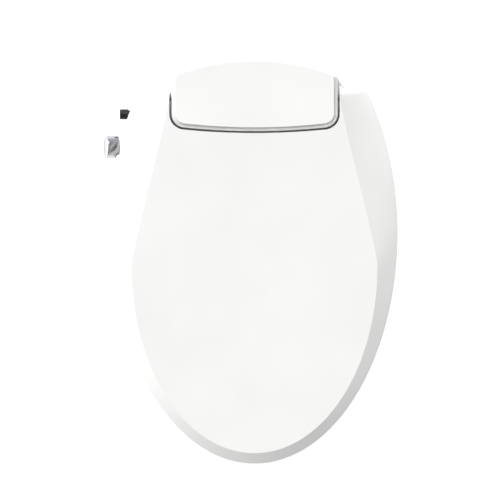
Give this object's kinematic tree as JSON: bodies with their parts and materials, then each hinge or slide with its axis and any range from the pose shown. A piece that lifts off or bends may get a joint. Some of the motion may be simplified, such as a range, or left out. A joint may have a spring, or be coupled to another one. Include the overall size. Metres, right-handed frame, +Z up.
{
  "type": "electric bidet seat",
  "caption": "Hinged lid and heated seat on a water unit with a side control knob and two sliding spray wands, which slides off a bolted mounting plate.",
  "frame": {"origin": "midway between the two fixing bolts, on the plane of the toilet bowl's rim", "axes": "+Z up, +Y towards the cistern, front tip of the seat towards -Y, +X to the user's left when sitting"},
  "size_m": [0.3831, 0.53, 0.1709],
  "materials": {
    "white_abs": "glossy moulded ABS",
    "white_polypropylene": "satin moulded polypropylene",
    "grey_trim": "satin light grey ABS",
    "chrome": "polished chrome plate",
    "black_nylon": "satin black nylon",
    "grey_rubber": "matt grey rubber",
    "steel": "plain machined steel",
    "brass": "turned brass, plated",
    "grey_pom": "satin acetal",
    "clear_hose": "milky silicone hose",
    "pcb_green": "solder mask",
    "dark_parts": "moulded black",
    "copper_coil": "wrapped coil"
  },
  "bodies": {
    "plate": {"mounting_plate": "grey_pom", "bolt_adjusters": "dark_parts", "fixing_bolts": "steel"},
    "unit": {"lower_case": "white_abs", "upper_case": "white_abs", "case_screws": "steel", "base_pads": "grey_rubber", "cover_trim": "white_abs", "rear_cover": "white_abs", "hinge_pins": "grey_pom", "seat_damper": "dark_parts", "lid_damper": "dark_parts", "knob_bezel": "white_abs", "dial_encoder": "dark_parts", "cable_gland": "black_nylon", "water_inlet": "brass", "inlet_strainer": "steel", "latch_spring": "steel", "spring_bracket": "white_abs", "cleansing_motor": "steel", "bidet_motor": "steel", "nozzle_guide": "grey_pom", "nozzle_guard": "white_abs", "heater_tank": "grey_pom", "tank_lid": "grey_pom", "heater_element": "steel", "inlet_valve": "grey_pom", "valve_coil": "copper_coil", "flow_divider": "grey_pom", "inlet_hose": "clear_hose", "tank_hose": "clear_hose", "outlet_hose": "clear_hose", "power_module": "dark_parts", "control_board": "pcb_green", "board_parts": "dark_parts", "mains_lead": "black_nylon", "dial_wires": "dark_parts"},
    "seat": {"seat_top_shell": "white_polypropylene", "seat_bottom_plate": "white_polypropylene", "seat_heater": "dark_parts", "seat_bumpers": "grey_rubber"},
    "lid": {"lid_shell": "white_abs", "lid_bumpers": "grey_rubber"},
    "knob": {"control_knob": "chrome"},
    "button": {"release_button": "grey_trim"},
    "cleansing_nozzle": {"cleansing_wand": "white_abs", "cleansing_tip": "steel", "cleansing_rack": "grey_pom"},
    "cleansing_drive": {"cleansing_pinion": "grey_pom"},
    "bidet_nozzle": {"bidet_wand": "white_abs", "bidet_tip": "steel", "bidet_rack": "grey_pom"},
    "bidet_drive": {"bidet_pinion": "grey_pom"}
  },
  "joints": [
    {"name": "unit_slide", "type": "slide", "parent": "plate", "child": "unit", "axis": [0, -1, 0], "range_m": [0, 0.045]},
    {"name": "seat_hinge", "type": "hinge", "parent": "unit", "child": "seat", "pos_m": [0, 0.005, 0.09], "axis": [1, 0, 0], "range_deg": [-95, 0]},
    {"name": "lid_hinge", "type": "hinge", "parent": "seat", "child": "lid", "pos_m": [0, 0.005, 0.09], "axis": [-1, 0, 0], "range_deg": [0, 105]},
    {"name": "knob_turn", "type": "hinge", "parent": "unit", "child": "knob", "pos_m": [-0.17683, -0.058, 0.0175], "axis": [-0.9703, 0, 0.2419], "range_deg": [-135, 135]},
    {"name": "button_press", "type": "slide", "parent": "unit", "child": "button", "axis": [-1, 0, 0], "range_m": [0, 0.003], "stiffness_N_per_m": 900, "springref_m": -0.001},
    {"name": "cleansing_extend", "type": "slide", "parent": "unit", "child": "cleansing_nozzle", "axis": [0, -0.9744, -0.225], "range_m": [0, 0.05]},
    {"name": "bidet_extend", "type": "slide", "parent": "unit", "child": "bidet_nozzle", "axis": [0, -0.9744, -0.225], "range_m": [0, 0.05]},
    {"name": "cleansing_pinion_turn", "type": "hinge", "parent": "unit", "child": "cleansing_drive", "pos_m": [-0.011, -0.02582, 0.03644], "axis": [-1, 0, 0], "range_deg": [0, 448]},
    {"name": "bidet_pinion_turn", "type": "hinge", "parent": "unit", "child": "bidet_drive", "pos_m": [0.011, -0.02582, 0.03644], "axis": [-1, 0, 0], "range_deg": [0, 448]}
  ],
  "couplings": [
    {"joint": "cleansing_pinion_turn", "follows": "cleansing_extend", "rad_per_m": 156.25},
    {"joint": "bidet_pinion_turn", "follows": "bidet_extend", "rad_per_m": 156.25}
  ]
}
